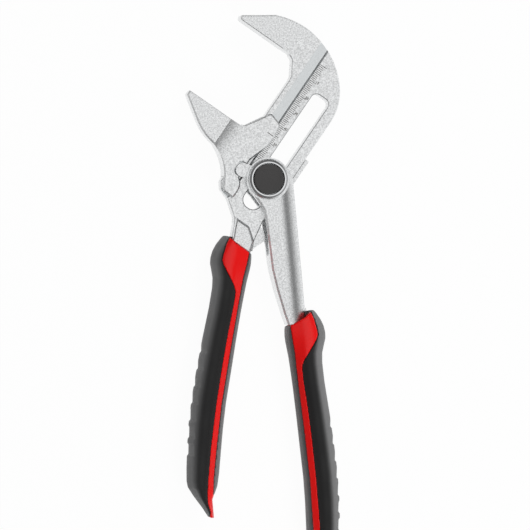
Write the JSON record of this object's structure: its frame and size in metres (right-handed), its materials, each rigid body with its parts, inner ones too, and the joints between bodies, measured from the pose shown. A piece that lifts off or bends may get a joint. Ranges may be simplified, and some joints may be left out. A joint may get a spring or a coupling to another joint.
{
  "type": "pliers wrench",
  "caption": "Adjustable pliers wrench: smooth parallel jaws, slotted jaw handle with ruler, forked lever, push-button height lock and soft two-colour grips.",
  "frame": {"origin": "where the pivot axis meets the plane that the tool lies on, at the rear bush's face", "axes": "+Z along the pivot axis towards the button, +Y along the tool towards the jaws, +X to the right seen from the button's side"},
  "size_m": [0.0825, 0.3067, 0.0241],
  "materials": {
    "forged_steel": "satin plated forging with fine grain",
    "machined_steel": "turned and ground",
    "bright_ring": "bright turned",
    "button_black": "matte anodised look",
    "grip_black": "soft satin",
    "grip_red": "satin gloss",
    "sleeve_black": "moulded"
  },
  "bodies": {
    "jaw_handle": {"jaw_handle": "forged_steel", "left_grip_black": "grip_black", "left_grip_red": "grip_red", "left_grip_band": "grip_black", "left_grip_sleeve": "sleeve_black"},
    "carriage": {"slot_block": "machined_steel", "front_bush": "machined_steel", "rear_bush": "machined_steel", "bezel_ring": "bright_ring", "bush_pins": "machined_steel", "front_washer": "machined_steel", "rear_washer": "machined_steel", "button_spring": "machined_steel"},
    "lever": {"lever": "forged_steel", "right_grip_black": "grip_black", "right_grip_red": "grip_red", "right_grip_band": "grip_black", "right_grip_sleeve": "sleeve_black"},
    "sliding_jaw": {"sliding_jaw": "forged_steel"},
    "button": {"push_button": "button_black", "button_stem": "machined_steel", "lock_bolt": "machined_steel", "stem_clip": "machined_steel"}
  },
  "joints": [
    {"name": "adjust_slide", "type": "slide", "parent": "jaw_handle", "child": "carriage", "axis": [0.5664, 0.8241, 0], "range_m": [-0.0048, 0.0432]},
    {"name": "lever_pivot", "type": "hinge", "parent": "carriage", "child": "lever", "pos_m": [0, 0, 0.011], "axis": [0, 0, 1], "range_deg": [-9, 0]},
    {"name": "jaw_slide", "type": "slide", "parent": "carriage", "child": "sliding_jaw", "axis": [0.5664, 0.8241, 0], "range_m": [0, 0.0023]},
    {"name": "button_press", "type": "slide", "parent": "carriage", "child": "button", "axis": [0, 0, -1], "range_m": [0, 0.0028], "stiffness_N_per_m": 1500, "springref_m": -0.001, "deforming": ["button_spring"]}
  ],
  "couplings": [
    {"joint": "jaw_slide", "follows": "lever_pivot", "m_per_rad": -0.013818}
  ]
}
